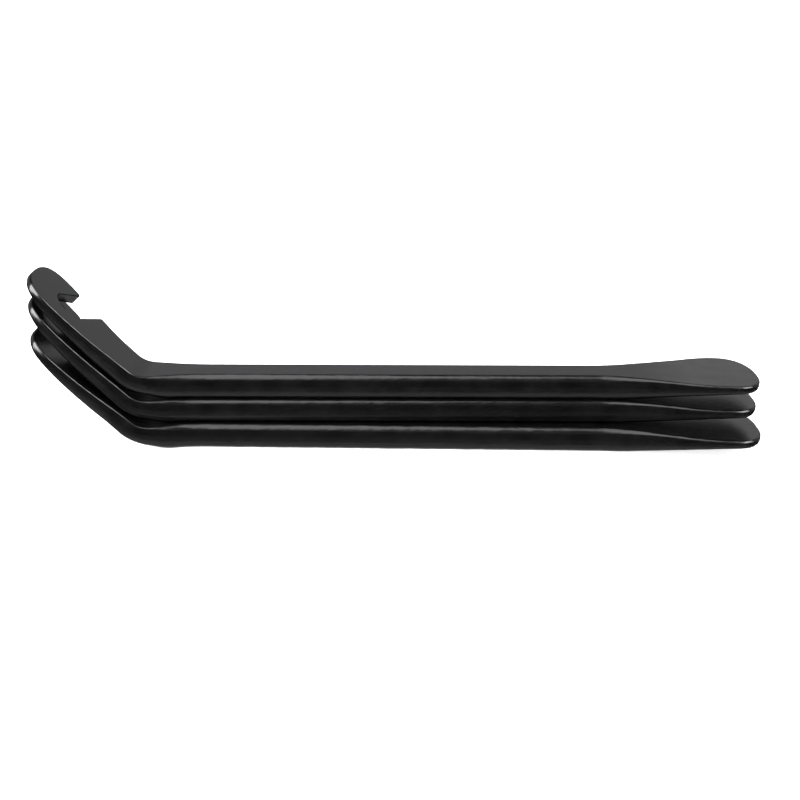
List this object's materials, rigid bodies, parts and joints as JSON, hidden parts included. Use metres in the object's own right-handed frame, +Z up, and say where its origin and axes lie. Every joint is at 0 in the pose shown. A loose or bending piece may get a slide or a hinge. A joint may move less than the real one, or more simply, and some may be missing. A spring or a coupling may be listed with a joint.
{
  "type": "tyre lever set",
  "caption": "Nested stack of slim black forged tyre levers, each with a bent hooked end with a spoke notch, a straight handle and a broad thin spoon tip.",
  "frame": {"origin": "centre of the stack's bounding box, on the surface that the bottom lever's handle lies on", "axes": "+X along the handles towards the spoon ends; +Y across the levers, towards the edge with the spoke notches; +Z up, the way the hooked ends bend and the levers lift off"},
  "size_m": [0.1196, 0.0218, 0.0291],
  "materials": {
    "black_coating": "satin"
  },
  "bodies": {
    "bottom_lever": {"bottom_lever": "black_coating"},
    "middle_lever": {"middle_lever": "black_coating"},
    "top_lever": {"top_lever": "black_coating"}
  },
  "joints": [
    {"name": "middle_lever_lift", "type": "slide", "parent": "bottom_lever", "child": "middle_lever", "axis": [0, 0, 1], "range_m": [0, 0.04]},
    {"name": "top_lever_lift", "type": "slide", "parent": "middle_lever", "child": "top_lever", "axis": [0, 0, 1], "range_m": [0, 0.04]}
  ]
}
